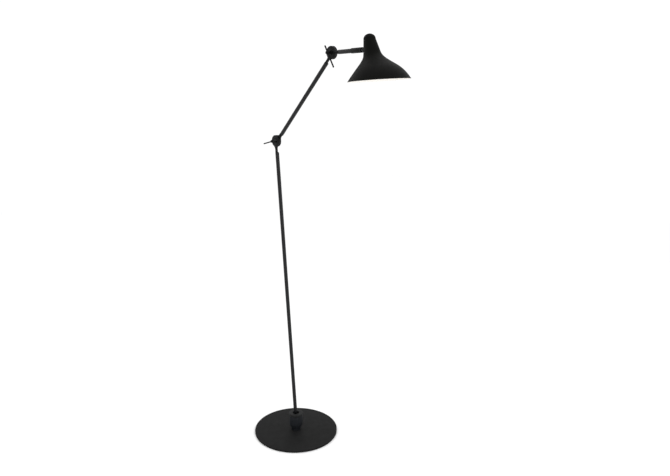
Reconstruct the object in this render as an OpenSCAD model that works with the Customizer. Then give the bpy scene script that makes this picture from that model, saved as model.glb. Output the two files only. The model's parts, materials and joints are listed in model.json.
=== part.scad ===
// Adjustable arm floor lamp: a round base, a pole that leans in a ball joint, two clamped
// knuckle joints and a peaked shade that swivels on the head arm.
// Millimetres, +Z up. The origin is on the floor, under the centre of the base. The arms
// and the head move in the XZ plane and reach towards +X; the clamp screws point to -Y.

/* [Base] */
// Diameter of the steel base plate
base_d = 300; // [260:5:340]
// Height of the plate's top face above the floor
base_top = 8; // [7:0.5:12]
// Gap between the floor and the plate's rim
base_lift = 1; // [0.5:0.1:1.5]
// Thickness of the pad under the plate
pad_h = 2; // [1.6:0.1:2.5]
// Distance from the plate's rim to the pad
pad_inset = 5; // [3:1:12]
// Radius of the circle of screws that hold the socket
screw_ring_r = 12; // [11:0.5:13]

/* [Foot joint] */
// Height of the ball's centre above the floor
ball_z = 48; // [46:1:50]
// Diameter of the steel ball on the pole's foot
ball_d = 32; // [31:0.5:32]
// Outer diameter of the socket cup
cup_d = 48; // [44:1:50]
// Outer diameter of the socket's stem
stem_d = 34; // [32:1:36]
// Outer diameter of the retaining ring
ring_d = 50; // [46:1:56]
// Height of the top of the retaining ring above the floor
ring_top = 73; // [72:1:75]
// Lean of the pole from the vertical, towards -X
pole_lean = 5.2; // [0:0.1:9]

/* [Pole and arms] */
// Outer diameter of the tubes
tube_d = 13; // [12:0.5:14]
// Wall thickness of the tubes
tube_wall = 1.5; // [1:0.1:1.8]
// Length from the ball's centre to the elbow's axis
pole_l = 1012; // [700:5:1200]
// Length of the upper arm between its two axes
arm_l = 398; // [250:2:500]
// Angle of the upper arm above the horizontal
arm_rise = 46.4; // [20:0.2:70]
// Angle of the head arm above the horizontal
head_rise = 3.4; // [-10:0.2:30]
// Distance from the wrist's axis to the end of the head arm's tube
head_tube_end = 85.7; // [80:0.1:95]

/* [Knuckles] */
// Diameter of the knuckle discs
disc_d = 39; // [36:1:42]
// Thickness of each knuckle disc
disc_t = 4.5; // [4:0.1:5]
// Thickness of the friction ring between two discs
friction_t = 1; // [0.8:0.1:1.5]
// Diameter of the slim necks, on the pole and at the upper arm's high end
slim_neck_d = 9; // [8:0.5:9.5]
// Diameter of the short necks, at the upper arm's low end and on the head arm
short_neck_d = 11.2; // [9:0.2:11.4]
// Offset of a disc's outer face from the tube's centre line
face_offset = 4.5; // [4:0.1:5]
// Diameter of the clamp screw's shank
screw_d = 6; // [5:0.5:6]

/* [Clamp screws] */
// Diameter of the screw's head
boss_d = 9.2; // [8.5:0.1:11]
// Distance from the joint's plane to the end of the screw's head
boss_reach = 22.5; // [20:0.5:26]
// Distance from the joint's plane to the T-bar
bar_reach = 16.5; // [15:0.5:18]
// Diameter of the T-bar
bar_d = 4.4; // [3.5:0.1:4.5]
// Length of the T-bar
bar_l = 75; // [60:1:80]
// How far the T-bar is pushed through the screw's head
bar_shift = 13; // [0:1:20]
// Direction of the elbow T-bar's long end, from +X towards +Z
elbow_bar_angle = 195; // [0:5:355]
// Direction of the wrist T-bar's long end, from +X towards +Z
wrist_bar_angle = -58; // [-180:2:180]

/* [Head swivel] */
// Outer diameter of the swivel sleeve
sleeve_d = 15.6; // [15:0.1:17]
// Distance from the wrist's axis to the start of the sleeve
sleeve_x0 = 86; // [86:0.5:90]
// Distance from the wrist's axis to the end of the sleeve
sleeve_x1 = 129; // [127:0.5:132]
// Diameter of the spindle and of the threaded nipple
spindle_d = 10; // [9.5:0.1:10]

/* [Shade] */
// Radius of the shade's open rim
rim_r = 90; // [84:0.5:92]
// Height of the shade from its rim to its crown
shade_h = 131; // [126:0.5:136]
// Distance from the wrist's axis to the rim's centre, along the head arm
rim_reach = 192.5; // [190:0.5:196]
// Distance from the head arm's axis down to the rim
rim_drop = 87; // [84:0.5:90]
// Tilt of the rim above the head arm's direction
shade_tilt = 2.2; // [0:0.1:3]
// Thickness of the shade's sheet
sheet_t = 0.9; // [0.8:0.1:1.2]

/* [Lamp holder and bulb] */
// Tilt of the lamp holder towards the front of the shade
holder_tilt = 12; // [8:1:14]
// Outer diameter of the lamp holder
holder_d = 27; // [26:0.5:28]
// Length of the lamp holder
holder_l = 43; // [40:1:45]
// Diameter of the bulb
bulb_d = 45; // [40:1:46]
// Length of the bulb from its contact to its tip
bulb_l = 75; // [72:1:78]

/* [Cable] */
// Diameter of the flexible cable inside the tubes
flex_d = 3.2; // [2.8:0.1:3.4]
// Diameter of the cable gland's bore
gland_bore_d = 6; // [5:0.5:6]

/* [Hidden] */

$fn = 64;
eps = 0.01;
face_gap = 0.05;      // between flat faces that turn against each other
run_gap = 0.06;       // radial gap of a running fit

base_r = base_d / 2;
tube_r = tube_d / 2;
bore_r = tube_r - tube_wall;
disc_r = disc_d / 2;
slim_neck_r = slim_neck_d / 2;
short_neck_r = short_neck_d / 2;
screw_r = screw_d / 2;
ball_r = ball_d / 2;
flex_r = flex_d / 2;
spindle_r = spindle_d / 2;
sleeve_r = sleeve_d / 2;

// Joint stack across Y: the pole's and the head's discs, the friction ring, the arm's discs
near_face = -disc_t;
far_face = friction_t + disc_t;
arm_y = far_face;     // centre line of the upper arm's tube
near_flex_y = -1.65;  // where the flex turns inside the near and the far discs' pockets
far_flex_y = friction_t + 1.65;
near_wire_y = -2.1;   // where it runs through the near and the far necks
far_wire_y = friction_t + 2.1;

// Distances from a joint's axis to the end of the tube, and the radius of the flares
pole_neck = 39;
arm_low_neck = 32;
arm_high_neck = 42;
head_neck = 31;
flare_r = 17;

// Base and foot joint
base_screw_r = 2;
screw_head_r = 4.4;
base_screw_top = base_top + 8;
stem_r = stem_d / 2;
cup_r = cup_d / 2;
cup_bore_r = ball_r + 0.6;
bowl_r = 11;          // radius of the rounding under the cup
bowl_z = base_top + 21;
cup_z1 = ring_top - 9;
spigot_top = cup_z1 + 4;
spigot_r = ring_d / 2 - 4;
gland_z = base_top + 5.6;
gland_r = 4;
way_r = 6;            // radius of the cable way in the stem
seat_z0 = 30;
throat_r = 9.4;
mouth_r = 11.6;
stud_bore_r = 3.2;
ball_flat = 10.5;     // from the ball's centre down to its flat underside
tube_seat = 2;        // from the ball's centre up to the end of the pole's tube

// Knuckles and clamp screws
plug_l = 16;          // length of a knuckle's spigot inside its tube
flare_steps = 10;
pocket_r = 15.5;
screw_wall_r = 7.5;
flex_turn_r = 11.5;
wire_r = 1.75;
flex_sides = 8;
boss_r = boss_d / 2;
washer_t = 0.95;
head_y = disc_t + face_gap + washer_t;
screw_end = far_face + 5.5;

// Head swivel, along the head arm from the wrist's axis
clip_x = sleeve_x1 - 11;
chamber_r = 6.8;
cap_x = sleeve_x1 - 6;
neck_back = rim_reach - 47;   // the head arm's axis meets the back of the shade here
saddle_r = 7.4;
tongue_w = 10;
tongue_t = 2.4;
tongue_top = 21;      // height of the saddle's tongue above the head arm's axis
bracket_x = neck_back + 2.1;
bracket_t = 1.5;
nipple_x1 = bracket_x + 5;

// Shade, lamp holder and bulb
crown_z = 116;        // height above the rim where the rounded crown starts
holder_x = rim_reach - 27;
holder_z = 15;
holder_r = holder_d / 2;
holder_mouth = 8;     // depth of the wider mouth round the bulb's neck
bulb_top = -18;       // height of the bulb's contact in the holder's frame
bulb_r = bulb_d / 2;
globe_z = bulb_top - bulb_l + bulb_r;

elbow = [-pole_l * sin(pole_lean), 0, ball_z + pole_l * cos(pole_lean)];
wrist = elbow + arm_l * [cos(arm_rise), 0, sin(arm_rise)];

black = "#1b1c1e";

// ---------- frames: each places its children on one moving member ----------

module pole_frame()
  translate([0, 0, ball_z])
    rotate([0, -pole_lean, 0])
      children();

// Pivot at the origin, the pole's tube towards +X
module pole_end_frame()
  pole_frame()
    translate([0, 0, pole_l])
      rotate([0, 90, 0])
        children();

module arm_frame()
  translate(elbow)
    rotate([0, -arm_rise, 0])
      children();

module arm_end_frame()
  arm_frame()
    translate([arm_l, 0, 0])
      rotate([0, 180, 0])
        children();

module head_frame()
  translate(wrist)
    rotate([0, -head_rise, 0])
      children();

// Origin at the centre of the shade's rim, +Z along the shade's axis
module shade_frame()
  head_frame()
    translate([rim_reach, 0, -rim_drop])
      rotate([0, -shade_tilt, 0])
        children();

// Origin at the top of the lamp holder, which hangs towards -Z
module holder_frame()
  head_frame()
    translate([holder_x, 0, holder_z])
      rotate([0, -holder_tilt, 0])
        children();

// ---------- shapes that repeat ----------

// Round rod along +Z
module rod(z0, z1, r)
  translate([0, 0, z0])
    cylinder(h = z1 - z0, r = r);

module pipe(z0, z1, r_out, r_in)
  difference() {
    rod(z0, z1, r_out);
    rod(z0 - 1, z1 + 1, r_in);
  }

// The same along +X and along +Y
module rod_x(x0, x1, r)
  rotate([0, 90, 0])
    rod(x0, x1, r);

module pipe_x(x0, x1, r_out, r_in)
  rotate([0, 90, 0])
    pipe(x0, x1, r_out, r_in);

module rod_y(y0, y1, r)
  rotate([-90, 0, 0])
    rod(y0, y1, r);

module pipe_y(y0, y1, r_out, r_in)
  rotate([-90, 0, 0])
    pipe(y0, y1, r_out, r_in);

// Flat shape in the XZ plane, given thickness from y0 to y1
module slab_y(y0, y1)
  translate([0, y1, 0])
    rotate([90, 0, 0])
      linear_extrude(y1 - y0)
        children();

// Flexible cable along a list of points, none of its stretches parallel to Y
function unit(v) = v / norm(v);
function flex_ring(p, along, r) = let (side = unit(cross(along, [0, 1, 0])), up = cross(side, along))
  [for (i = [0 : flex_sides - 1]) let (a = 360 * i / flex_sides)
    p + r * (cos(a) * side + sin(a) * up)];

module flex_run(points, r) {
  last = len(points) - 1;
  rings = [for (i = [0 : last])
    flex_ring(points[i], unit(points[min(i + 1, last)] - points[max(i - 1, 0)]), r)];
  skin(rings, points[0], points[last]);
}

// Where the flex turns round the clamp screw in a knuckle's pocket, from its loose end to
// the start of the wire's way; turn is 1 or -1 for the side that it turns to
function flex_turn(y_turn, y_wire, turn) = concat(
  [for (a = [150 : -12.5 : 25]) [flex_turn_r * cos(a), y_turn, turn * flex_turn_r * sin(a)]],
  [[flex_turn_r + 0.9, y_turn, turn * 1.4], [flex_turn_r + 2.2, y_turn, 0]],
  [[pocket_r + 1, y_wire, 0]]);

// Closed skin through a stack of rings, with a point at each end
module skin(rings, tip_0, tip_1) {
  n = len(rings[0]);
  m = len(rings);
  points = concat([for (ring = rings) each ring], [tip_0, tip_1]);
  sides = [for (j = [0 : m - 2], i = [0 : n - 1]) let (k = (i + 1) % n)
    each [[j * n + i, j * n + k, (j + 1) * n + k], [j * n + i, (j + 1) * n + k, (j + 1) * n + i]]];
  ends = [for (i = [0 : n - 1]) let (k = (i + 1) % n)
    each [[k, i, m * n], [(m - 1) * n + i, (m - 1) * n + k, m * n + 1]]];
  polyhedron(points, concat(sides, ends));
}

// Knuckle outline: a disc that flares into a narrow blade along +X
module knuckle_outline(neck_x, neck_r) {
  blade = neck_r - 0.7;
  flare_x = sqrt(pow(disc_r + flare_r, 2) - pow(blade + flare_r, 2));
  touch = atan2(blade + flare_r, flare_x);
  flare = [for (i = [1 : flare_steps]) let (a = touch + 180 + (90 - touch) * i / flare_steps)
    [flare_x + flare_r * cos(a), blade + flare_r * (1 + sin(a))]];
  edge = concat([(disc_r - 2) * [cos(touch), sin(touch)]], flare, [[neck_x, blade]]);
  circle(disc_r, $fn = 96);
  polygon(concat([[0, 0]], edge, [for (i = [len(edge) - 1 : -1 : 0]) [edge[i].x, -edge[i].y]]));
}

// One half of a clamped joint: pivot at the origin, tube towards +X. y0 is the disc's low
// face; open_low says which face carries the pocket where the flex turns.
module knuckle(y0, open_low, neck_x, neck_r) {
  y_neck = y0 + disc_t / 2 + 0.25;
  y_tube = y0 + face_offset;
  y_wire = open_low ? far_wire_y : near_wire_y;
  pocket_y0 = open_low ? y0 - 1 : y0 + 1.2;
  pocket_y1 = open_low ? y0 + disc_t - 1.2 : y0 + disc_t + 1;
  color(black)
    difference() {
      union() {
        slab_y(y0, y0 + disc_t)
          knuckle_outline(neck_x, neck_r);
        translate([0, y_neck, 0])
          rod_x(disc_r + 2, neck_x, neck_r);
        translate([0, y_tube, 0])
          rod_x(neck_x - 0.5, neck_x + plug_l, bore_r);
      }
      rod_y(y0 - 1, y0 + disc_t + 1, screw_r + run_gap);
      pipe_y(pocket_y0, pocket_y1, pocket_r, screw_wall_r);
      translate([flex_turn_r, y_wire, 0])
        rod_x(0, neck_x + plug_l, wire_r);
    }
}

// Clamp screw: a cross-drilled head towards -Y and a plain shank through both discs
module clamp_screw(bar_angle)
  color(black)
    difference() {
      rotate([90, 0, 0])
        rotate_extrude()
          polygon([
            [0, -screw_end], [screw_r, -screw_end], [screw_r, head_y], [boss_r, head_y],
            [boss_r, boss_reach - 1.5], [boss_r - 1.5, boss_reach], [0, boss_reach]
          ]);
      translate([0, -bar_reach, 0])
        rotate([0, -bar_angle, 0])
          rod_x(-boss_d, boss_d, bar_d / 2);
    }

module screw_washer()
  color("silver")
    pipe_y(-head_y, -head_y + washer_t, 8, screw_r);

// T-bar with rounded ends, its long end towards bar_angle
module t_bar(bar_angle)
  color(black)
    translate([0, -bar_reach, 0])
      rotate([0, -bar_angle, 0])
        translate([bar_shift, 0, 0]) {
          rod_x(-bar_l / 2 + bar_d / 2, bar_l / 2 - bar_d / 2, bar_d / 2);
          for (end = [-1, 1])
            translate([end * (bar_l / 2 - bar_d / 2), 0, 0])
              sphere(bar_d / 2);
        }

module friction_ring()
  color("dimgray")
    pipe_y(face_gap, friction_t, disc_r - 0.3, 16);

// Domed hexagon nut on the far side of a joint
module cap_nut() {
  nut_h = 4.5;
  color(black)
    difference() {
      union() {
        translate([0, far_face, 0])
          rotate([-90, 0, 0])
            cylinder(h = nut_h, d = 10 / cos(30), $fn = 6);
        translate([0, far_face + nut_h - 1.4, 0])
          intersection() {
            sphere(4.8);
            rod_y(0, 5, 5);
          }
      }
      rod_y(far_face - 1, screw_end + 0.3, screw_r + run_gap);
    }
}

// ---------- base and foot joint ----------

module base_plate() {
  chamfer = 0.8;
  color(black)
    difference() {
      rotate_extrude($fn = 180)
        polygon([
          [0, base_lift], [base_r - chamfer, base_lift], [base_r, base_lift + chamfer],
          [base_r, base_top - chamfer], [base_r - chamfer, base_top], [0, base_top]
        ]);
      rod(base_lift - 1, pad_h, base_r - pad_inset);
      for (a = [0, 120, 240])
        rotate([0, 0, a])
          translate([screw_ring_r, 0, 0])
            countersunk(base_lift - 0.5, base_top + 1);
    }
}

// Round bar from z0 to z1 with a countersunk head that starts at the pad
module countersunk(z0, z1)
  rotate_extrude()
    polygon([
      [0, z0], [screw_head_r, z0], [screw_head_r, pad_h],
      [base_screw_r, pad_h + screw_head_r - base_screw_r], [base_screw_r, z1], [0, z1]
    ]);

// Felt disc glued into the recess under the plate, over the screws
module base_pad()
  color("dimgray")
    rod(0, pad_h, base_r - pad_inset - 0.3);

// Three countersunk screws, driven up into the socket's stem
module base_screws()
  color("silver")
    for (a = [0, 120, 240])
      rotate([0, 0, a])
        translate([screw_ring_r, 0, 0])
          difference() {
            countersunk(pad_h, base_screw_top);
            translate([0, 0, pad_h - eps])
              cylinder(h = 1.2, d = 2.9, $fn = 6);
          }

// Stem, rounded bowl and straight wall in one turned piece
module socket_cup() {
  bowl_turn = acos((stem_r - cup_r + bowl_r) / bowl_r);
  bowl = [for (i = [0 : 8])
    [cup_r - bowl_r + bowl_r * cos(bowl_turn * (1 - i / 8)),
     bowl_z - bowl_r * sin(bowl_turn * (1 - i / 8))]];
  color(black)
    difference() {
      rotate_extrude($fn = 96)
        polygon(concat(
          [[0, base_top], [stem_r, base_top]], bowl,
          [[cup_r, cup_z1 - face_gap], [spigot_r - 0.1, cup_z1 - face_gap],
           [spigot_r - 0.1, spigot_top], [0, spigot_top]]));
      rod(seat_z0, spigot_top + 1, cup_bore_r);
      rod(base_top + 3.5, seat_z0 + 1, way_r);
      rod(seat_z0 - 6, seat_z0 + 1, 10);
      for (a = [0, 120, 240])
        rotate([0, 0, a])
          translate([screw_ring_r, 0, 0])
            rod(base_top - 1, base_screw_top + 0.5, base_screw_r);
      translate([0, 0, gland_z])
        rod_x(-stem_r - 1, 0, gland_r);
    }
}

// Flanged bush that the mains cord enters by, at the back of the stem
module cable_gland()
  color("dimgray")
    translate([0, 0, gland_z])
      difference() {
        union() {
          rod_x(-stem_r - 1, -way_r - 0.5, gland_r);
          rod_x(-stem_r - 1.8, -stem_r + 0.6, gland_r + 0.9);
        }
        rod_x(-stem_r - 3, 0, gland_bore_d / 2);
        // the flange's inner face follows the round stem
        difference() {
          rod(-8, 8, stem_r);
          rod_x(-stem_r - 1, 0, gland_r);
        }
      }

module wave_washer()
  color("silver")
    pipe(seat_z0, seat_z0 + 1.6, 15.5, 10.5);

// Nylon cup under the ball, which turns with it
module ball_seat()
  color("ivory")
    difference() {
      rod(seat_z0 + 1.6 + face_gap, ball_z - 6, cup_bore_r - run_gap);
      translate([0, 0, ball_z])
        sphere(ball_r + run_gap, $fn = 96);
      rod(seat_z0, ball_z, 9);
    }

// Screwed ring that holds the ball down; its mouth widens so that the pole can lean
module retaining_ring() {
  chamfer = 1;
  ring_r = ring_d / 2;
  throat_z = ball_z + 12.5;
  color(black)
    difference() {
      rotate_extrude($fn = 96)
        polygon([
          [0, ball_z + 6], [cup_bore_r - 0.1, ball_z + 6], [cup_bore_r - 0.1, spigot_top + face_gap],
          [spigot_r, spigot_top + face_gap], [spigot_r, cup_z1], [ring_r - 0.6, cup_z1],
          [ring_r, cup_z1 + 0.6], [ring_r, ring_top - chamfer], [ring_r - chamfer, ring_top],
          [0, ring_top]
        ]);
      translate([0, 0, ball_z])
        sphere(ball_r + run_gap, $fn = 96);
      rod(ball_z, throat_z + eps, throat_r);
      translate([0, 0, throat_z])
        cylinder(h = ring_top - throat_z + eps, r1 = throat_r, r2 = mouth_r);
    }
}

module pole_ball()
  color("silver")
    pole_frame()
      difference() {
        sphere(ball_r, $fn = 96);
        rod(-ball_r - 1, -ball_flat, ball_r);
        rod(-ball_r, tube_seat + 1, bore_r + run_gap);
        rod(tube_seat, ball_r + 1, tube_r + run_gap);
        // two holes for the pin that holds the ball while its nut is tightened
        for (turn = [0, 180])
          rotate([0, 0, turn])
            rod_y(ball_r - 5, ball_r + 1, 2);
      }

// Hollow stud that carries the pole on the ball
module foot_stud()
  color("silver")
    pole_frame()
      pipe(-ball_flat - 3.1, tube_seat + 20, bore_r, stud_bore_r);

module foot_nut()
  color("silver")
    pole_frame()
      difference() {
        translate([0, 0, -ball_flat - 3.1])
          cylinder(h = 3.1 - face_gap, r = 6.9, $fn = 6);
        rod(-ball_r, 0, bore_r);
      }

// ---------- pole ----------

module pole_tube()
  color(black)
    pole_frame()
      pipe(tube_seat + face_gap, pole_l - pole_neck, tube_r, bore_r);

module pole_knuckle()
  pole_end_frame()
    knuckle(near_face, false, pole_neck, slim_neck_r);

module pole_flex()
  color("dimgray")
    pole_end_frame()
      flex_run(concat(
        flex_turn(near_flex_y, near_wire_y, 1),
        [[pole_neck + 60, near_wire_y, 0], [pole_l - 60, 0, 0], [pole_l + ball_flat + 2, 0, 0]]
      ), flex_r);

// ---------- upper arm ----------

module elbow_friction_ring()
  arm_frame()
    friction_ring();

module wrist_friction_ring()
  arm_end_frame()
    friction_ring();

module arm_lower_knuckle()
  arm_frame()
    knuckle(friction_t, true, arm_low_neck, short_neck_r);

module arm_upper_knuckle()
  arm_end_frame()
    knuckle(friction_t, true, arm_high_neck, slim_neck_r);

module upper_arm_tube()
  color(black)
    arm_frame()
      translate([0, arm_y, 0])
        pipe_x(arm_low_neck, arm_l - arm_high_neck, tube_r, bore_r);

module arm_flex() {
  low = flex_turn(far_flex_y, far_wire_y, -1);
  high = [for (p = flex_turn(far_flex_y, far_wire_y, -1)) [arm_l - p.x, p.y, p.z]];
  last = len(high) - 1;
  color("dimgray")
    arm_frame()
      flex_run(concat(low, [for (i = [last : -1 : 0]) high[i]]), flex_r);
}

module elbow_nut()
  arm_frame()
    cap_nut();

module wrist_nut()
  arm_end_frame()
    cap_nut();

// ---------- clamp screws ----------

module elbow_screw()
  translate(elbow)
    clamp_screw(elbow_bar_angle);

module elbow_screw_washer()
  translate(elbow)
    screw_washer();

module elbow_t_bar()
  translate(elbow)
    t_bar(elbow_bar_angle);

module wrist_screw()
  translate(wrist)
    clamp_screw(wrist_bar_angle);

module wrist_screw_washer()
  translate(wrist)
    screw_washer();

module wrist_t_bar()
  translate(wrist)
    t_bar(wrist_bar_angle);

// ---------- head arm and swivel ----------

module head_knuckle()
  head_frame()
    knuckle(near_face, false, head_neck, short_neck_r);

module head_arm_tube()
  color(black)
    head_frame()
      pipe_x(head_neck, head_tube_end, tube_r, bore_r);

// Hollow pin that the sleeve turns on
module swivel_spindle()
  color("silver")
    head_frame()
      pipe_x(head_tube_end - 18, clip_x + 3, spindle_r, 3);

module spindle_clip()
  color("silver")
    head_frame()
      pipe_x(clip_x + 0.3, clip_x + 1.8, 6.4, spindle_r);

module head_flex()
  color("dimgray")
    head_frame()
      flex_run(concat(
        flex_turn(near_flex_y, near_wire_y, -1),
        [[head_neck + plug_l + 1, near_wire_y, 0], [head_neck + plug_l + 15, 0, 0],
         [nipple_x1 - 1.2, 0, 0]]
      ), flex_r);

module swivel_sleeve()
  color(black)
    head_frame()
      difference() {
        rod_x(sleeve_x0, cap_x, sleeve_r);
        rod_x(sleeve_x0 - 1, clip_x, spindle_r + run_gap);
        rod_x(clip_x, cap_x + 1, chamber_r);
      }

// Screwed cap that closes the sleeve and carries the shade's nipple
module sleeve_cap()
  color(black)
    head_frame()
      difference() {
        union() {
          rod_x(cap_x, sleeve_x1, sleeve_r);
          rod_x(cap_x - 2, cap_x + eps, chamber_r);
        }
        rod_x(cap_x - 3, sleeve_x1 + 1, spindle_r);
      }

module shade_nipple()
  color("silver")
    head_frame()
      pipe_x(cap_x, nipple_x1, spindle_r, 3);

// Spacer between sleeve and shade with a tongue up the neck, cut to its round back
module shade_saddle()
  color(black)
    difference() {
      head_frame() {
        rod_x(sleeve_x1 + 4.5, neck_back + 4, saddle_r);
        translate([neck_back - tongue_t, -tongue_w / 2, 0])
          cube([tongue_t + 2, tongue_w, tongue_top]);
      }
      head_frame()
        rod_x(sleeve_x1, neck_back + 5, spindle_r);
      shade_frame()
        translate([mid_x(rim_drop), 0, rim_drop - 20])
          cylinder(h = tongue_top + 30, r = section_r(rim_drop));
    }

module shade_nut()
  color("silver")
    head_frame()
      difference() {
        rotate([0, 90, 0])
          translate([0, 0, bracket_x + bracket_t])
            cylinder(h = 3.3, d = 14 / cos(30), $fn = 6);
        rod_x(bracket_x, nipple_x1 + 1, spindle_r);
      }

// ---------- shade ----------

// The shade is a stack of circles. Its front and back profiles are Bezier curves of
// [height, x] points from the rim to the top of the slanted crown.
front_curve = concat(
  curve([0, rim_r], [20, rim_r - 11], [33, 65], [42, 50]),
  curve([42, 50], [56, 27], [66, 7.5], [80, 2]),
  [[crown_z, 2 - (crown_z - 80) * 0.39]]);
back_curve = concat(
  curve([0, -rim_r], [14, 8 - rim_r], [46, -51], [66, -47]),
  [[crown_z, -47]]);

function curve(a, b, c, d) = [for (i = [0 : 12]) let (t = i / 12, s = 1 - t)
  s * s * s * a + 3 * s * s * t * b + 3 * s * t * t * c + t * t * t * d];
function front_x(h) = lookup(h, front_curve);
function back_x(h) = lookup(h, back_curve);
function crown(h) = h <= crown_z ? 1
  : sqrt(max(0, 1 - pow((h - crown_z) / (shade_h - crown_z), 2)));
function mid_x(h) = (front_x(min(h, crown_z)) + back_x(min(h, crown_z))) / 2;
function section_r(h) = (front_x(min(h, crown_z)) - back_x(min(h, crown_z))) / 2 * crown(h);

shade_levels = concat([for (i = [0 : 15]) crown_z * i / 15],
  [for (a = [25 : 20 : 85]) crown_z + (shade_h - crown_z) * sin(a)]);
shade_sides = 44;

function shade_ring(h, drop, shrink) = [for (i = [0 : shade_sides - 1])
  let (a = 360 * i / shade_sides, r = section_r(h) - shrink)
  [mid_x(h) + r * cos(a), r * sin(a), max(0, h - drop)]];

module shade() {
  outer = [for (h = shade_levels) shade_ring(h, 0, 0)];
  last = len(shade_levels) - 1;
  inner = [for (i = [last : -1 : 0]) shade_ring(shade_levels[i], sheet_t * 0.8, sheet_t)];
  color(black)
    difference() {
      shade_frame()
        skin(concat(inner, outer), [mid_x(shade_h), 0, shade_h - sheet_t * 1.2],
          [mid_x(shade_h), 0, shade_h]);
      head_frame()
        rod_x(neck_back - 6, neck_back + 12, spindle_r + 0.1);
    }
}

// ---------- lamp holder and bulb ----------

// Bent strip: one leg behind the shade's nut, the other over the lamp holder
module holder_bracket() {
  low = [for (x = [bracket_x + bracket_t, holder_x + 9])
    [x, holder_z + (x - holder_x) * tan(holder_tilt)]];
  rise = bracket_t / cos(holder_tilt);
  color("silver")
    difference() {
      head_frame()
        slab_y(-7.5, 7.5)
          polygon([
            [bracket_x, -7], [bracket_x + bracket_t, -7], low[0], low[1],
            low[1] + [0, rise], low[0] + [-bracket_t, rise - bracket_t * tan(holder_tilt)]
          ]);
      head_frame()
        rod_x(bracket_x - 1, bracket_x + bracket_t + 1, spindle_r);
      holder_frame()
        rod(-1, bracket_t + 1, spindle_r);
    }
}

module holder_nipple()
  color("silver")
    holder_frame()
      pipe(-7, bracket_t + 3.5, spindle_r, 3.5);

module holder_nut()
  color("silver")
    holder_frame()
      pipe(bracket_t, bracket_t + 2.5, 7, spindle_r);

module lamp_holder()
  color("ivory")
    holder_frame()
      difference() {
        rotate_extrude()
          polygon([
            [0, -0.2], [8, -0.2], [10.5, -4], [holder_r - 1, -9], [holder_r - 1, -26],
            [holder_r, -27], [holder_r, -holder_l + 1], [holder_r - 1, -holder_l], [0, -holder_l]
          ]);
        rod(-8, 1, spindle_r);
        rod(-14, -7, 3.5);
        rod(-holder_l - 1, -13.5, 7.4);
        rod(-holder_l - 1, holder_mouth - holder_l, 10.5);
      }

module holder_contact()
  color("gold")
    holder_frame()
      rod(bulb_top + 0.05, -13.5, 2.8);

module holder_leads()
  color("dimgray")
    head_frame()
      for (side = [-1, 1])
        flex_run([
          [nipple_x1 - 1, side * 1.4, 1], [nipple_x1 + 1, side * 1.4, 1.6],
          [nipple_x1 + 1.6, side * 1.4, 5], [nipple_x1 + 2, side * 1.4, 9.6]
        ], 0.7);

module bulb_cap()
  color("silver")
    holder_frame()
      difference() {
        rotate_extrude()
          polygon([
            [0, bulb_top], [2.5, bulb_top], [2.5, bulb_top - 1], [5, bulb_top - 2.5],
            [6.9, bulb_top - 4], [6.9, bulb_top - 23], [0, bulb_top - 23]
          ]);
        rod(bulb_top - 24, bulb_top - 5, 6.3);
      }

// Half outline of the globe and its neck, inset by t
function bulb_outline(t) = concat(
  [for (a = [-90 : 7.5 : 60]) [(bulb_r - t) * cos(a), globe_z + (bulb_r - t) * sin(a)]],
  [[8.6 - t, bulb_top - 26], [6.2 - t, bulb_top - 23.2], [6.2 - t, bulb_top - 12 - t],
   [0, bulb_top - 12 - t]]);

module bulb_glass()
  color("white")
    holder_frame()
      difference() {
        rotate_extrude()
          polygon(bulb_outline(0));
        rotate_extrude()
          polygon(bulb_outline(0.8));
      }

base_plate();
base_pad();
base_screws();
socket_cup();
cable_gland();
wave_washer();
retaining_ring();
ball_seat();
pole_ball();
foot_stud();
foot_nut();
pole_tube();
pole_knuckle();
pole_flex();
elbow_friction_ring();
arm_lower_knuckle();
upper_arm_tube();
arm_upper_knuckle();
arm_flex();
elbow_nut();
wrist_nut();
elbow_screw();
elbow_screw_washer();
elbow_t_bar();
wrist_friction_ring();
wrist_screw();
wrist_screw_washer();
wrist_t_bar();
head_knuckle();
head_arm_tube();
swivel_spindle();
spindle_clip();
head_flex();
swivel_sleeve();
sleeve_cap();
shade_nipple();
shade_saddle();
shade();
shade_nut();
holder_bracket();
holder_nipple();
holder_nut();
lamp_holder();
holder_contact();
holder_leads();
bulb_cap();
bulb_glass();
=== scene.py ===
"""Looks of the adjustable arm floor lamp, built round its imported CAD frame.

Everything is in metres in the frame of the CAD model: the origin is on the floor under the
centre of the base, +Z up, and the arms reach towards +X. Bars and tubes are measured on their
CAD nodes along a joint's axis, then made again as finer meshes with rounded edges. The shade, the
tubes' wall and the clamp screws' turned heads repeat the CAD model's driving dimensions.
"""

import json
import math

import bmesh
import bpy
from mathutils import Matrix, Vector


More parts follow.
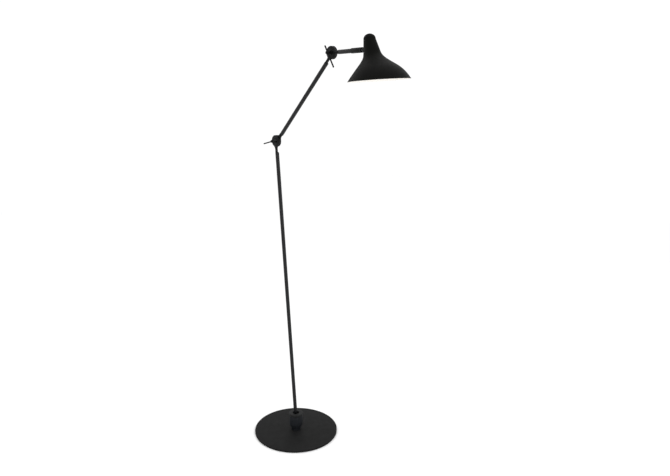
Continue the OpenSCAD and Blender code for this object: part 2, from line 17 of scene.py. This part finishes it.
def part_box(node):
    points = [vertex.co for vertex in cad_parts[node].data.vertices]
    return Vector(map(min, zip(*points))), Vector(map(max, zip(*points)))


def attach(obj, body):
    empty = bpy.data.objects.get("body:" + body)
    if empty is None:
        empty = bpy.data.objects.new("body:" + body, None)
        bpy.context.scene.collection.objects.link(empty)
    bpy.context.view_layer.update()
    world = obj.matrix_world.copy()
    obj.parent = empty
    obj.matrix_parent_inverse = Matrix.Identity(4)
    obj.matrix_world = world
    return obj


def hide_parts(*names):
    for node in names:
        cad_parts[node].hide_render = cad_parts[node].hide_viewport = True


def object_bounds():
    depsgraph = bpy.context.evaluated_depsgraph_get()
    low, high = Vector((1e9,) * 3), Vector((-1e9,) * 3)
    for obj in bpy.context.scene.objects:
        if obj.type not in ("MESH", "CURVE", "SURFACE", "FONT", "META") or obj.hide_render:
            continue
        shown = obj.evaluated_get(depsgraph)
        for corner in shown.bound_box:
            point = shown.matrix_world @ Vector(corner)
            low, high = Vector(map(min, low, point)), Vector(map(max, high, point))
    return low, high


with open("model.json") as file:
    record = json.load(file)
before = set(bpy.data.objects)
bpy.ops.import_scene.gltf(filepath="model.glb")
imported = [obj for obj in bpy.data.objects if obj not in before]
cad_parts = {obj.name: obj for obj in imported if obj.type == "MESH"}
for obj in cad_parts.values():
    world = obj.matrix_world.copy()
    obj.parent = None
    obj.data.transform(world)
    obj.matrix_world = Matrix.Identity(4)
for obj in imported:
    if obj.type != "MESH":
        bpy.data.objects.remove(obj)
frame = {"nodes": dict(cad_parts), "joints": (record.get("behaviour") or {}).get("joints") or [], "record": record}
CAD_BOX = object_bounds()

NODES = frame["nodes"]
BODIES = frame["record"]["behaviour"]["bodies"]
JOINTS = {joint["name"]: joint for joint in frame["joints"]}
BODY_OF = {node: body for body, nodes in BODIES.items() for node in nodes}
SLOT_OF = {part["node"]: part["material_slot"] for part in frame["record"]["subparts"]}
MM = 0.001

# ---------- places, from the joints ----------

BALL = Vector(JOINTS["pole_spin"]["pos_m"])
ELBOW = Vector(JOINTS["elbow"]["pos_m"])
WRIST = Vector(JOINTS["wrist"]["pos_m"])
UP = Vector((0, 0, 1))
ACROSS = Vector((0, 1, 0))
POLE_DIR = Vector(JOINTS["pole_spin"]["axis"]).normalized()
ARM_DIR = (WRIST - ELBOW).normalized()
HEAD_DIR = Vector(JOINTS["head_swivel"]["axis"]).normalized()


def place(origin, along, side=ACROSS):
    """Matrix of a frame at origin with its +Z along a direction and its +Y near side."""
    z = along.normalized()
    x = side.cross(z).normalized()
    y = z.cross(x)
    return Matrix.Translation(origin) @ Matrix((x, y, z)).transposed().to_4x4()


POLE = place(BALL, POLE_DIR)
ARM = place(ELBOW, ARM_DIR)
HEAD = place(WRIST, HEAD_DIR)
FLOOR = place(Vector((0, 0, 0)), UP)


def span(node, at):
    """Lowest and highest place of a CAD node along the frame's +Z, and its outer radius."""
    inverse = at.inverted()
    points = [inverse @ vertex.co for vertex in NODES[node].data.vertices]
    heights = [point.z for point in points]
    return min(heights), max(heights), max(math.hypot(point.x, point.y) for point in points)


# ---------- making meshes ----------

SMOOTH_ANGLE = math.radians(40)     # faces that meet at less than this are shaded as one
CORNER_ANGLE = math.radians(30)     # edges of a CAD node sharper than this are bevelled
FLAT_ANGLE = math.radians(1)        # faces flatter than this are joined before a bevel
CORNER_SHARE = 0.45                 # most of a side's length that one rounded corner may take


def add_object(name, bm):
    """Object from a bmesh, shaded smooth apart from its sharp edges."""
    mesh = bpy.data.meshes.new(name)
    bmesh.ops.recalc_face_normals(bm, faces=bm.faces)
    bm.to_mesh(mesh)
    bm.free()
    piece = bpy.data.objects.new(name, mesh)
    bpy.context.scene.collection.objects.link(piece)
    for polygon in mesh.polygons:
        polygon.use_smooth = True
    mesh.set_sharp_from_angle(angle=SMOOTH_ANGLE)
    return piece


def soften(points, radius, steps=4):
    """Round every corner of an open outline, apart from its two ends."""
    out = [Vector(points[0])]
    for before, corner, after in zip(points, points[1:], points[2:]):
        corner = Vector(corner)
        back, ahead = Vector(before) - corner, Vector(after) - corner
        reach = min(radius, CORNER_SHARE * back.length, CORNER_SHARE * ahead.length)
        start, end = corner + back.normalized() * reach, corner + ahead.normalized() * reach
        for i in range(steps + 1):
            t = i / steps
            out.append(start.lerp(corner, t).lerp(corner.lerp(end, t), t))
    out.append(Vector(points[-1]))
    return out


def lathe(name, outline, at=FLOOR, sides=64):
    """Turn an outline of (radius, height) points about the frame's +Z. A closed ring has its
    first point again at its end; otherwise both ends are on the axis."""
    bm = bmesh.new()
    rings = []
    for radius, height in outline:
        if radius < 1e-7:
            rings.append([bm.verts.new(at @ Vector((0, 0, height)))])
        else:
            rings.append([
                bm.verts.new(at @ Vector((radius * math.cos(a), radius * math.sin(a), height)))
                for a in (math.tau * i / sides for i in range(sides))
            ])
    if len(rings[0]) > 1:
        for vertex in rings[-1]:
            bm.verts.remove(vertex)
        rings[-1] = rings[0]
    for low, high in zip(rings, rings[1:]):
        for i in range(sides):
            k = (i + 1) % sides
            square = (low[i % len(low)], low[k % len(low)], high[k % len(high)], high[i % len(high)])
            corners = list(dict.fromkeys(square))
            if len(corners) > 2:
                bm.faces.new(corners)
    return add_object(name, bm)


def finish(piece, node):
    """Give a piece its material, its slot and its body, and let it stand for a CAD node."""
    piece.data.materials.append(MATERIALS[SLOT_OF[node]])
    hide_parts(node)
    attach(piece, BODY_OF[node])


def bar(node, at, edge=0.5 * MM, sides=64):
    """A solid round bar in place of a CAD node, with rounded edges."""
    z0, z1, radius = span(node, at)
    outline = soften([(0, z0), (radius, z0), (radius, z1), (0, z1)], edge)
    finish(lathe(node + "_turned", outline, at, sides), node)


def tube(node, at, bore, edge=0.4 * MM, sides=64):
    """A round tube in place of a CAD node, with rounded edges."""
    z0, z1, radius = span(node, at)
    middle = (z0 + z1) / 2
    outline = [(radius, middle), (radius, z1), (bore, z1), (bore, z0), (radius, z0), (radius, middle)]
    finish(lathe(node + "_turned", soften(outline, edge), at, sides), node)


def bevelled(node, width=0.3 * MM):
    """A copy of a CAD node with its sharper edges rounded."""
    bm = bmesh.new()
    bm.from_mesh(NODES[node].data)
    bmesh.ops.remove_doubles(bm, verts=bm.verts, dist=1e-6)
    bmesh.ops.dissolve_limit(
        bm, angle_limit=FLAT_ANGLE, verts=bm.verts, edges=bm.edges, use_dissolve_boundaries=False
    )
    corners = [
        edge for edge in bm.edges
        if len(edge.link_faces) == 2 and edge.calc_face_angle() > CORNER_ANGLE
    ]
    bmesh.ops.bevel(
        bm, geom=corners, offset=width, offset_type="OFFSET", segments=2, profile=0.5,
        affect="EDGES", clamp_overlap=True,
    )
    finish(add_object(node + "_bevelled", bm), node)


# ---------- materials ----------


class Finish:
    """A Principled material whose colour, roughness and bump come from its nodes."""

    def __init__(self, name, roughness, **constants):
        self.material = bpy.data.materials.new(name)
        self.material.use_nodes = True
        self.tree = self.material.node_tree
        self.shader = self.tree.nodes["Principled BSDF"]
        self.shader.inputs["Roughness"].default_value = roughness
        for socket, value in constants.items():
            self.shader.inputs[socket.replace("_", " ")].default_value = value
        self.place = self.tree.nodes.new("ShaderNodeTexCoord").outputs["Object"]

    def link(self, output, socket):
        self.tree.links.new(output, socket)

    def stretched(self, scale):
        """Object coordinates stretched by a scale for each axis."""
        mapping = self.tree.nodes.new("ShaderNodeMapping")
        mapping.inputs["Scale"].default_value = scale
        self.link(self.place, mapping.inputs["Vector"])
        return mapping.outputs["Vector"]

    def noise(self, size, detail=3.0, vector=None):
        """Noise whose features are about size across."""
        node = self.tree.nodes.new("ShaderNodeTexNoise")
        node.inputs["Scale"].default_value = 1 / size
        node.inputs["Detail"].default_value = detail
        self.link(vector or self.place, node.inputs["Vector"])
        return node.outputs["Fac"]

    def cells(self, size):
        node = self.tree.nodes.new("ShaderNodeTexVoronoi")
        node.inputs["Scale"].default_value = 1 / size
        self.link(self.place, node.inputs["Vector"])
        return node.outputs["Distance"]

    def edges(self, low, high):
        """1 on the convex edges of a mesh and 0 on its faces."""
        pointed = self.tree.nodes.new("ShaderNodeNewGeometry").outputs["Pointiness"]
        return self.spread(pointed, low, high, 0.0, 1.0)

    def spread(self, value, low, high, to_low, to_high):
        """Map low..high of a value to to_low..to_high."""
        node = self.tree.nodes.new("ShaderNodeMapRange")
        for socket, number in zip(("From Min", "From Max", "To Min", "To Max"), (low, high, to_low, to_high)):
            node.inputs[socket].default_value = number
        self.link(value, node.inputs["Value"])
        return node.outputs["Result"]

    def mix(self, share, first, second):
        """Colour between two colours or outputs, by a share from 0 to 1."""
        node = self.tree.nodes.new("ShaderNodeMix")
        node.data_type = "RGBA"
        self.link(share, node.inputs["Factor"])
        for socket, colour in zip((node.inputs[6], node.inputs[7]), (first, second)):
            if isinstance(colour, tuple):
                socket.default_value = (*colour, 1)
            else:
                self.link(colour, socket)
        return node.outputs[2]

    def colour(self, output):
        self.link(output, self.shader.inputs["Base Color"])

    def rough(self, value, low, high):
        self.link(self.spread(value, 0.3, 0.7, low, high), self.shader.inputs["Roughness"])

    def bump(self, height, depth):
        node = self.tree.nodes.new("ShaderNodeBump")
        node.inputs["Strength"].default_value = 0.6
        node.inputs["Distance"].default_value = depth
        self.link(height, node.inputs["Height"])
        self.link(node.outputs["Normal"], self.shader.inputs["Normal"])


def powder_coat(name, colour, roughness, gloss):
    """Fine matte powder coat: faint grain, soft mottling and slightly lighter convex edges."""
    coat = Finish(name, roughness, Specular_IOR_Level=gloss)
    light = tuple(1.35 * channel for channel in colour)
    edge_tone = tuple(2.2 * channel for channel in colour)
    mottled = coat.mix(coat.spread(coat.noise(18 * MM, 4), 0.35, 0.65, 0, 1), colour, light)
    # Convex edges, found by pointiness, are coloured lighter than the faces.
    coat.colour(coat.mix(coat.edges(0.53, 0.62), mottled, edge_tone))
    coat.rough(coat.noise(9 * MM), roughness - 0.05, roughness + 0.05)
    coat.bump(coat.noise(0.7 * MM, 2), 0.012 * MM)
    return coat.material


def steel(name, colour, roughness):
    """Plated or turned steel with fine scratches and a few dull patches."""
    metal = Finish(name, roughness, Metallic=1.0)
    dull = tuple(0.72 * channel for channel in colour)
    metal.colour(metal.mix(metal.spread(metal.noise(4 * MM, 5), 0.4, 0.7, 0, 1), colour, dull))
    metal.rough(metal.noise(2 * MM), roughness - 0.08, roughness + 0.1)
    metal.bump(metal.noise(1 * MM, 2, metal.stretched((1, 1, 14))), 0.01 * MM)
    return metal.material


def plain_body(name, colour, roughness, grain, depth, shade=0.8, **constants):
    """Plastic, rubber, fibre or ceramic with a mottled colour and a grain of its own size."""
    body = Finish(name, roughness, **constants)
    dark = tuple(shade * channel for channel in colour)
    body.colour(body.mix(body.spread(body.noise(12 * grain, 3), 0.35, 0.65, 0, 1), dark, colour))
    body.rough(body.noise(6 * grain), roughness - 0.04, roughness + 0.04)
    body.bump(body.noise(grain, 3), depth)
    return body.material


def felt(name, colour):
    """Pressed wool felt: matted fibres with light specks."""
    wool = Finish(name, 0.95, Specular_IOR_Level=0.1, Sheen_Weight=0.3)
    pale = tuple(2.0 * channel for channel in colour)
    fibres = wool.noise(0.8 * MM, 6, wool.stretched((1, 3, 1)))
    wool.colour(wool.mix(wool.spread(fibres, 0.45, 0.7, 0, 1), colour, pale))
    wool.bump(fibres, 0.25 * MM)
    return wool.material


def white_enamel(name):
    """Stove enamel inside the shade: off-white, with a faint orange peel."""
    enamel = Finish(name, 0.45, Specular_IOR_Level=0.35)
    enamel.colour(enamel.mix(enamel.noise(25 * MM, 3), (0.80, 0.79, 0.76), (0.86, 0.85, 0.83)))
    enamel.rough(enamel.noise(10 * MM), 0.4, 0.5)
    enamel.bump(enamel.noise(1.5 * MM, 2), 0.02 * MM)
    return enamel.material


def lit_glass(name):
    """Frosted bulb glass, lit, its warm colour a little uneven."""
    glass = Finish(name, 0.35, Emission_Strength=1.6)
    warm = glass.mix(glass.noise(14 * MM, 2), (1.0, 0.80, 0.58), (1.0, 0.88, 0.70))
    glass.colour(warm)
    glass.link(warm, glass.shader.inputs["Emission Color"])
    glass.bump(glass.cells(0.9 * MM), 0.01 * MM)
    return glass.material


MATERIALS = {
    # The blacks differ from part to part as painted light: the plate's lighter coat stands in for its top being
    # lit from above.
    "plate_coat": powder_coat("plate_coat", (0.0080, 0.0081, 0.0081), 0.62, 0.08),
    "socket_coat": powder_coat("socket_coat", (0.0090, 0.0102, 0.0122), 0.55, 0.09),
    "ring_coat": powder_coat("ring_coat", (0.0098, 0.0104, 0.0106), 0.55, 0.13),
    "tube_coat": powder_coat("tube_coat", (0.0034, 0.0036, 0.0042), 0.36, 0.24),
    "knuckle_coat": powder_coat("knuckle_coat", (0.0030, 0.0032, 0.0034), 0.46, 0.10),
    "screw_black": powder_coat("screw_black", (0.0028, 0.0030, 0.0031), 0.42, 0.10),
    "sleeve_coat": powder_coat("sleeve_coat", (0.0032, 0.0034, 0.0034), 0.42, 0.12),
    "saddle_coat": powder_coat("saddle_coat", (0.0045, 0.0048, 0.0045), 0.50, 0.12),
    # Painted shade: the shade's coat is darker than the other blacks, standing in for how little light falls on
    # its upright sides.
    "shade_coat": powder_coat("shade_coat", (0.0018, 0.0019, 0.0015), 0.52, 0.055),
    "felt": felt("felt", (0.020, 0.020, 0.021)),
    "gland_rubber": plain_body("gland_rubber", (0.012, 0.012, 0.012), 0.75, 0.5 * MM, 0.02 * MM),
    "flex_sheath": plain_body("flex_sheath", (0.020, 0.020, 0.020), 0.45, 0.6 * MM, 0.01 * MM),
    "fibre_ring": plain_body("fibre_ring", (0.030, 0.026, 0.022), 0.85, 0.4 * MM, 0.03 * MM, 0.6),
    "nylon": plain_body("nylon", (0.72, 0.69, 0.62), 0.45, 1.2 * MM, 0.01 * MM, 0.93),
    "holder_ceramic": plain_body("holder_ceramic", (0.82, 0.80, 0.74), 0.22, 2.5 * MM, 0.03 * MM, 0.94),
    "zinc_screws": steel("zinc_screws", (0.58, 0.60, 0.62), 0.32),
    "spring_steel": steel("spring_steel", (0.40, 0.41, 0.43), 0.30),
    "ball_steel": steel("ball_steel", (0.52, 0.53, 0.54), 0.22),
    "bracket_zinc": steel("bracket_zinc", (0.52, 0.53, 0.52), 0.38),
    "contact_brass": steel("contact_brass", (0.72, 0.52, 0.22), 0.30),
    "cap_nickel": steel("cap_nickel", (0.62, 0.61, 0.58), 0.26),
    "bulb_glass": lit_glass("bulb_glass"),
}
for node, cad_object in NODES.items():
    cad_object.data.materials.clear()
    cad_object.data.materials.append(MATERIALS[SLOT_OF[node]])

# ---------- base and foot ----------

PLATE_LOW, PLATE_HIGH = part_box("base_plate")
PLATE_R = PLATE_HIGH[0]
RECESS_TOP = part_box("base_pad")[1][2]
RECESS_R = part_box("base_pad")[1][0] + 0.3 * MM
PLATE_EDGE = 0.9 * MM
PLATE_SIDES = 192

plate_outline = [
    (0, RECESS_TOP), (RECESS_R, RECESS_TOP), (RECESS_R, PLATE_LOW[2]),
    (PLATE_R, PLATE_LOW[2]), (PLATE_R, PLATE_HIGH[2]), (0, PLATE_HIGH[2]),
]
finish(lathe("base_plate_turned", soften(plate_outline, PLATE_EDGE, 5), FLOOR, PLATE_SIDES), "base_plate")
bar("base_pad", FLOOR, 0.4 * MM, PLATE_SIDES)
for node in ("socket_cup", "cable_gland", "retaining_ring"):
    bevelled(node, 0.4 * MM)

# ---------- tubes ----------

TUBE_WALL = 1.5 * MM
TUBE_BORE = span("pole_tube", POLE)[2] - TUBE_WALL
ARM_ASIDE = sum(corner[1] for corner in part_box("upper_arm_tube")) / 2
tube("pole_tube", POLE, TUBE_BORE)
tube("upper_arm_tube", ARM @ Matrix.Translation((0, ARM_ASIDE, 0)), TUBE_BORE)
tube("head_arm_tube", HEAD, TUBE_BORE)

# ---------- knuckles, clamp screws and swivel ----------

for node in (
    "pole_knuckle", "arm_lower_knuckle", "arm_upper_knuckle", "head_knuckle",
    "elbow_nut", "wrist_nut", "shade_saddle", "swivel_sleeve", "sleeve_cap",
):
    bevelled(node)
for node in ("holder_bracket", "shade_nut", "lamp_holder", "holder_nut"):
    bevelled(node, 0.2 * MM)

SCREW_HEAD_R = 4.6 * MM
SHANK_R = 3 * MM
WASHER_FACE = 5.5 * MM      # from the joint's plane to the underside of the screw's head
BAR_REACH = 16.5 * MM       # from the joint's plane to the T-bar
GROOVE = 0.5 * MM           # depth of the turned groove in the head
GROOVE_BACK = 2.6 * MM      # from the head's end to the groove
TIP_H = 0.5 * MM            # chamfer at the head's end
TIP_W = 1.5 * MM
DOME_STEPS = 8              # of each rounded end of the T-bar


def clamp_screw(joint, pivot):
    """Turned screw with a grooved head, and its T-bar with rounded ends."""
    at = place(pivot, -ACROSS, UP)
    shank_end, head_end, _ = span(joint + "_screw", at)
    groove = head_end - GROOVE_BACK
    outline = soften([
        (0, shank_end), (SHANK_R, shank_end), (SHANK_R, WASHER_FACE), (SCREW_HEAD_R, WASHER_FACE),
        (SCREW_HEAD_R, groove - GROOVE), (SCREW_HEAD_R - GROOVE, groove), (SCREW_HEAD_R, groove + GROOVE),
        (SCREW_HEAD_R, head_end - TIP_H), (SCREW_HEAD_R - TIP_W, head_end), (0, head_end),
    ], 0.4 * MM)
    finish(lathe(joint + "_screw_turned", outline, at, 48), joint + "_screw")

    points = [vertex.co for vertex in NODES[joint + "_t_bar"].data.vertices]
    centre = pivot - BAR_REACH * ACROSS
    far = max(points, key=lambda point: (point - centre).length)
    along = far - centre
    along.y = 0
    bar_at = place(centre, along)
    low, high, radius = span(joint + "_t_bar", bar_at)
    turns = [math.pi / 2 / DOME_STEPS * i for i in range(DOME_STEPS + 1)]
    dome = [(radius * math.sin(a), radius * (1 - math.cos(a))) for a in turns]
    outline = [(r, low + h) for r, h in dome] + [(r, high - h) for r, h in reversed(dome)]
    finish(lathe(joint + "_t_bar_turned", outline, bar_at, 32), joint + "_t_bar")
    bevelled(joint + "_screw_washer", 0.15 * MM)


clamp_screw("elbow", ELBOW)
clamp_screw("wrist", WRIST)

# ---------- shade ----------

SHADE_H = 131 * MM
CROWN_Z = 116 * MM          # height where the rounded crown starts
RIM_REACH = 192.5 * MM      # along the head arm from the wrist to the rim's centre
RIM_DROP = 87 * MM
SHADE_TILT = math.radians(2.2)
SHEET_T = 0.9 * MM
FRONT_SLOPE = 0.39          # how far the front of the crown leans back for each unit of height
SHADE_SIDES = 144
RIM_R = 90                  # as a plain number of millimetres, like the curves' points
WALL_LEVELS = 44            # steps up the wall
CROWN_STEP = 6              # degrees for each step round the crown
LIP_STEPS = 6               # steps round the rim's edge


def curve(a, b, c, d, steps=24):
    """Points of a Bezier curve of (height, x) pairs in millimetres."""
    points = []
    for i in range(steps + 1):
        t = i / steps
        s = 1 - t
        weights = (s ** 3, 3 * s * s * t, 3 * s * t * t, t ** 3)
        points.append(tuple(MM * sum(w * p[k] for w, p in zip(weights, (a, b, c, d))) for k in (0, 1)))
    return points


FRONT_CURVE = (
    curve((0, RIM_R), (20, 79), (33, 65), (42, 50))
    + curve((42, 50), (56, 27), (66, 7.5), (80, 2))[1:]
    + [(CROWN_Z, 2 * MM - (CROWN_Z - 80 * MM) * FRONT_SLOPE)]
)
BACK_CURVE = curve((0, -RIM_R), (14, -82), (46, -51), (66, -47)) + [(CROWN_Z, -47 * MM)]


def lookup(height, points):
    """Linear value at a height in a list of (height, value) pairs."""
    for (h0, v0), (h1, v1) in zip(points, points[1:]):
        if height <= h1:
            return v0 + (v1 - v0) * max(0.0, height - h0) / (h1 - h0)
    return points[-1][1]


def shade_section(height):
    """Centre and radius of the shade's round section at a height above the rim."""
    front, back = (lookup(min(height, CROWN_Z), points) for points in (FRONT_CURVE, BACK_CURVE))
    over = max(0.0, (height - CROWN_Z) / (SHADE_H - CROWN_Z))
    return (front + back) / 2, (front - back) / 2 * math.sqrt(max(0.0, 1 - over * over))


def shade_piece():
    """The whole sheet: black outside, white inside, with a rounded edge at the rim."""
    half = SHEET_T / 2
    levels = [CROWN_Z * (i / WALL_LEVELS) for i in range(WALL_LEVELS + 1)]
    crown = [math.radians(a) for a in range(CROWN_STEP, 90, CROWN_STEP)]
    levels += [CROWN_Z + (SHADE_H - CROWN_Z) * math.sin(a) for a in crown]
    lip = [math.pi * i / LIP_STEPS for i in range(1, LIP_STEPS)]
    # Down the outside to where the rim's rounded edge starts, round it, and up the inside
    rings = [(*shade_section(height), max(half, height)) for height in reversed(levels)]
    outer_count = len(rings)
    centre, radius = shade_section(0)
    for a in lip:
        rings.append((centre, radius - half + half * math.cos(a), half - half * math.sin(a)))
    for height in levels:
        centre, radius = shade_section(height)
        rings.append((centre, radius - SHEET_T, max(half, height - 0.8 * SHEET_T)))

    head_up = Vector((-HEAD_DIR.z, 0, HEAD_DIR.x))
    rim_centre = WRIST + RIM_REACH * HEAD_DIR - RIM_DROP * head_up
    turn = Matrix.Rotation(-SHADE_TILT, 3, "Y")
    axis, forward = turn @ head_up, turn @ HEAD_DIR
    bm = bmesh.new()
    loops = []
    for centre, radius, height in rings:
        middle = rim_centre + forward * centre + axis * height
        loops.append([
            bm.verts.new(middle + radius * (math.cos(a) * forward + math.sin(a) * ACROSS))
            for a in (math.tau * i / SHADE_SIDES for i in range(SHADE_SIDES))
        ])
    for row, (low, high) in enumerate(zip(loops, loops[1:])):
        for i in range(SHADE_SIDES):
            k = (i + 1) % SHADE_SIDES
            face = bm.faces.new((low[i], low[k], high[k], high[i]))
            face.material_index = int(row >= outer_count + len(lip) // 2)
    top_centre, _ = shade_section(SHADE_H)
    for loop, height, index in ((loops[0], SHADE_H, 0), (loops[-1], SHADE_H - 1.2 * SHEET_T, 1)):
        tip = bm.verts.new(rim_centre + forward * top_centre + axis * height)
        for i in range(SHADE_SIDES):
            face = bm.faces.new((loop[i], loop[(i + 1) % SHADE_SIDES], tip))
            face.material_index = index
    piece = add_object("shade_spun", bm)
    finish(piece, "shade")
    piece.data.materials.append(white_enamel("shade_white"))


shade_piece()

# ---------- floor, light and camera ----------

VIEW_AZIMUTH = math.radians(47.0)
VIEW_TILT = math.radians(14.98)
VIEW_ROLL = math.radians(-0.42)
VIEW_DISTANCE = 2.2072
VIEW_RIGHT = 0.0293         # camera's place to the right of and above the lamp's middle
VIEW_UP = 0.0659
LENS = 36.4
FLOOR_SIZE = 9.0
WORLD_STRENGTH = 1.05
# Name, direction from the lamp's middle, distance, size and watts
SOFTBOXES = (
    ("key", (1.0, -0.25, 0.35), 2.6, (0.9, 2.2), 13),
    ("fill", (-0.9, -0.8, 0.5), 3.0, (1.2, 2.0), 5),
    ("top", (0.1, 0.1, 1.0), 2.4, (2.0, 2.0), 6),
)


def add_floor():
    bm = bmesh.new()
    bmesh.ops.create_grid(bm, x_segments=1, y_segments=1, size=FLOOR_SIZE / 2)
    floor = add_object("floor", bm)
    paper = Finish("floor_paper", 0.9, Specular_IOR_Level=0.0)
    paper.colour(paper.mix(paper.noise(0.4, 2), (0.94, 0.94, 0.94), (0.96, 0.96, 0.96)))
    floor.data.materials.append(paper.material)


def add_softbox(aim, name, direction, distance, size, watts):
    """Rectangular area light that faces the aim."""
    direction = Vector(direction)
    light = bpy.data.lights.new(name, "AREA")
    light.shape = "RECTANGLE"
    light.size, light.size_y = size
    light.energy = watts
    lamp = bpy.data.objects.new(name, light)
    bpy.context.scene.collection.objects.link(lamp)
    lamp.location = aim + direction.normalized() * distance
    lamp.rotation_euler = (-direction).to_track_quat("-Z", "Y").to_euler()


def add_world():
    world = bpy.data.worlds.new("studio")
    world.use_nodes = True
    background = world.node_tree.nodes["Background"]
    background.inputs["Color"].default_value = (1, 1, 1, 1)
    background.inputs["Strength"].default_value = WORLD_STRENGTH
    bpy.context.scene.world = world


def add_camera(middle):
    ahead = Vector((
        -math.sin(VIEW_AZIMUTH) * math.cos(VIEW_TILT),
        math.cos(VIEW_AZIMUTH) * math.cos(VIEW_TILT),
        -math.sin(VIEW_TILT),
    ))
    right = Vector((math.cos(VIEW_AZIMUTH), math.sin(VIEW_AZIMUTH), 0))
    up = right.cross(ahead)
    rolled_right = right * math.cos(VIEW_ROLL) - up * math.sin(VIEW_ROLL)
    rolled_up = up * math.cos(VIEW_ROLL) + right * math.sin(VIEW_ROLL)
    camera = bpy.data.objects.new("camera", bpy.data.cameras.new("camera"))
    bpy.context.scene.collection.objects.link(camera)
    camera.data.lens = LENS
    camera.data.sensor_width = 36
    camera.matrix_world = Matrix.Translation(
        middle + VIEW_RIGHT * right + VIEW_UP * up - VIEW_DISTANCE * ahead
    ) @ Matrix((rolled_right, rolled_up, -ahead)).transposed().to_4x4()
    bpy.context.scene.camera = camera


MIDDLE = (Vector(CAD_BOX[0]) + Vector(CAD_BOX[1])) / 2
add_floor()
add_world()
for softbox in SOFTBOXES:
    add_softbox(MIDDLE, *softbox)
add_camera(MIDDLE)
bpy.context.scene.view_settings.view_transform = "Standard"
